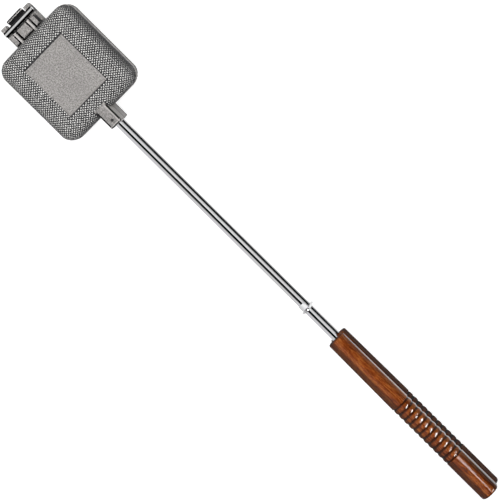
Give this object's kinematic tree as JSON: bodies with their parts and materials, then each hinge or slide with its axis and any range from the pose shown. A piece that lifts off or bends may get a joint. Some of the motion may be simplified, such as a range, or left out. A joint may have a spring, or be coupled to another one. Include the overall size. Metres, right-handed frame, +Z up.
{
  "type": "sandwich iron",
  "caption": "Long-handled cast-iron sandwich iron: two square hinged half shells on steel rods with turned wooden handles and a swinging wire latch.",
  "frame": {"origin": "middle of the flat panel under the lower half, on which the closed iron rests", "axes": "+X from the head to the handles, +Z up, the hinge pin along Y"},
  "size_m": [0.7107, 0.1064, 0.0444],
  "materials": {
    "cast_iron": "bare grey casting with a raised stipple, bare panel and bosses",
    "pin_steel": "bright drawn steel",
    "chromed_steel": "bright chrome plate",
    "spring_steel": "dark oiled spring steel",
    "varnished_wood": "turned hardwood, reddish-brown stain under gloss varnish",
    "latch_wire": "bright plated wire"
  },
  "bodies": {
    "lower_half": {"lower_shell": "cast_iron", "hinge_pin": "pin_steel", "lower_rod": "chromed_steel", "lower_spring_pin": "spring_steel", "lower_handle": "varnished_wood"},
    "upper_half": {"upper_shell": "cast_iron", "upper_rod": "chromed_steel", "upper_spring_pin": "spring_steel", "upper_handle": "varnished_wood"},
    "latch": {"latch_hook": "latch_wire"}
  },
  "joints": [
    {"name": "head_hinge", "type": "hinge", "parent": "lower_half", "child": "upper_half", "pos_m": [-0.0745, 0, 0.0222], "axis": [0, -1, 0], "range_deg": [0, 100]},
    {"name": "latch_swing", "type": "hinge", "parent": "upper_half", "child": "latch", "pos_m": [0.3514, 0, 0.0334], "axis": [1, 0, 0], "range_deg": [0, 330]}
  ]
}
